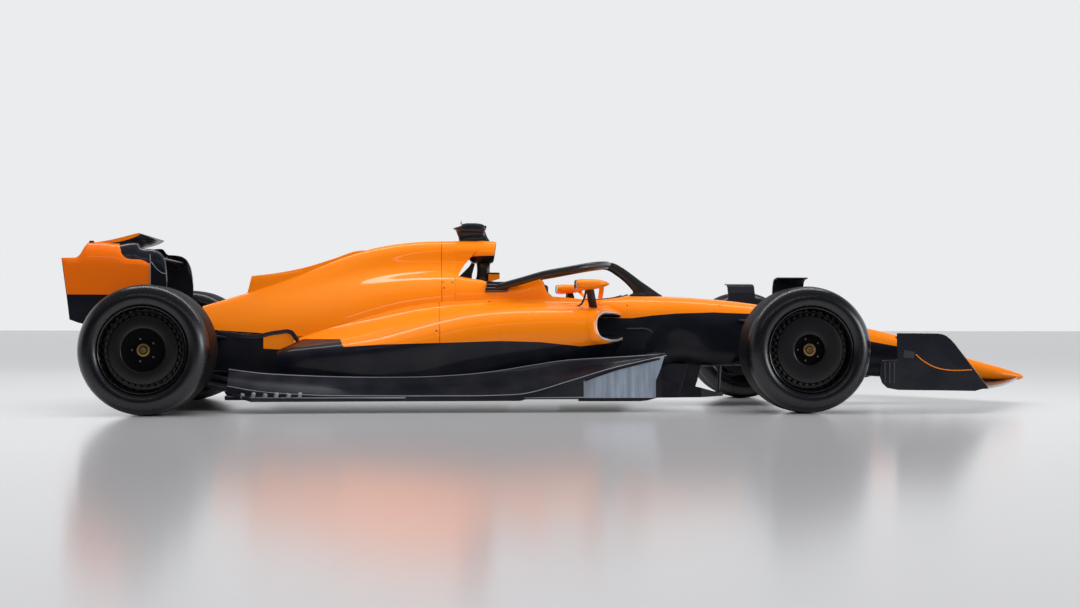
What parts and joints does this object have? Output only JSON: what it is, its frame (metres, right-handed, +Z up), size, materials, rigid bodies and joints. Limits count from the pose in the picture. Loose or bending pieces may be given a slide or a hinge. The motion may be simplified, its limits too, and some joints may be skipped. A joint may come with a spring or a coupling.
{
  "type": "open wheel racing car",
  "caption": "Single seat open wheel racing car with wings, halo, sidepods, ground effect floor, steered front wheels and an opening rear flap.",
  "frame": {"origin": "on the floor, under the middle of the car's length and width", "axes": "+X forward, +Y to the car's left, +Z up"},
  "size_m": [5.727, 2, 1.098],
  "materials": {
    "orange_paint": "gloss paint over carbon",
    "carbon": "satin carbon fibre",
    "halo_black": "matte black over titanium",
    "tyre": "slick rubber",
    "rim_black": "gloss black",
    "bare_metal": "machined",
    "cast_metal": "cast",
    "red_lens": "clear red lens",
    "pad": "firm foam in a smooth cover",
    "skid_board": "worn laminate"
  },
  "bodies": {
    "chassis": {"monocoque": "carbon", "nose_cone": "orange_paint", "engine_cover": "orange_paint", "engine_block": "cast_metal", "gearbox": "carbon", "airbox": "orange_paint", "roll_hoop": "carbon", "floor": "carbon", "cockpit_surround": "orange_paint", "sidepod_left": "orange_paint", "sidepod_right": "orange_paint", "floor_fences": "carbon", "floor_edge_wings": "carbon", "plank": "skid_board", "splitter": "carbon", "halo": "halo_black", "front_wing_mainplane": "orange_paint", "front_wing_flaps": "carbon", "front_wing_endplates": "carbon", "rear_wing_endplates": "orange_paint", "rear_wing_mainplane": "carbon", "beam_wing": "carbon", "rear_crash_structure": "carbon", "rain_light": "red_lens", "rear_wing_pylons": "carbon", "exhaust_tailpipe": "bare_metal", "uprights_rear": "carbon", "front_suspension": "carbon", "rear_suspension": "carbon", "headrest": "pad", "seat": "carbon", "mirrors": "orange_paint", "roll_camera": "carbon"},
    "upright_front_left": {"upright_front_left": "carbon"},
    "upright_front_right": {"upright_front_right": "carbon"},
    "wheel_front_left": {"tyre_front_left": "tyre", "rim_front_left": "rim_black"},
    "wheel_front_right": {"tyre_front_right": "tyre", "rim_front_right": "rim_black"},
    "wheel_rear_left": {"tyre_rear_left": "tyre", "rim_rear_left": "rim_black", "driveshaft_left": "bare_metal"},
    "wheel_rear_right": {"tyre_rear_right": "tyre", "rim_rear_right": "rim_black", "driveshaft_right": "bare_metal"},
    "steering_rack": {"steering_rack": "bare_metal"},
    "steering_wheel": {"steering_wheel": "carbon"},
    "drs_flap": {"drs_flap": "orange_paint"}
  },
  "joints": [
    {"name": "steer_left", "type": "hinge", "parent": "chassis", "child": "upright_front_left", "pos_m": [1.2735, 0.665, 0.35], "axis": [0, 0, 1], "range_deg": [-15, 15]},
    {"name": "steer_right", "type": "hinge", "parent": "chassis", "child": "upright_front_right", "pos_m": [1.2735, -0.665, 0.35], "axis": [0, 0, 1], "range_deg": [-15, 15]},
    {"name": "spin_front_left", "type": "hinge", "parent": "upright_front_left", "child": "wheel_front_left", "pos_m": [1.2735, 0.8225, 0.35], "axis": [0, 1, 0], "continuous": true},
    {"name": "spin_front_right", "type": "hinge", "parent": "upright_front_right", "child": "wheel_front_right", "pos_m": [1.2735, -0.8225, 0.35], "axis": [0, 1, 0], "continuous": true},
    {"name": "spin_rear_left", "type": "hinge", "parent": "chassis", "child": "wheel_rear_left", "pos_m": [-2.3265, 0.78, 0.35], "axis": [0, 1, 0], "continuous": true},
    {"name": "spin_rear_right", "type": "hinge", "parent": "chassis", "child": "wheel_rear_right", "pos_m": [-2.3265, -0.78, 0.35], "axis": [0, 1, 0], "continuous": true},
    {"name": "steering_wheel_turn", "type": "hinge", "parent": "chassis", "child": "steering_wheel", "pos_m": [0.1675, 0, 0.5412], "axis": [-0.9806, 0, 0.1961], "range_deg": [-151, 151]},
    {"name": "rack_slide", "type": "slide", "parent": "chassis", "child": "steering_rack", "axis": [0, 1, 0], "range_m": [-0.034, 0.034]},
    {"name": "drs_open", "type": "hinge", "parent": "chassis", "child": "drs_flap", "pos_m": [-2.7185, 0, 0.95], "axis": [0, -1, 0], "range_deg": [-20, 0]}
  ],
  "couplings": [
    {"joint": "steer_right", "follows": "steer_left", "ratio": 1},
    {"joint": "steering_wheel_turn", "follows": "steer_left", "ratio": 10},
    {"joint": "rack_slide", "follows": "steer_left", "m_per_rad": 0.12852}
  ]
}
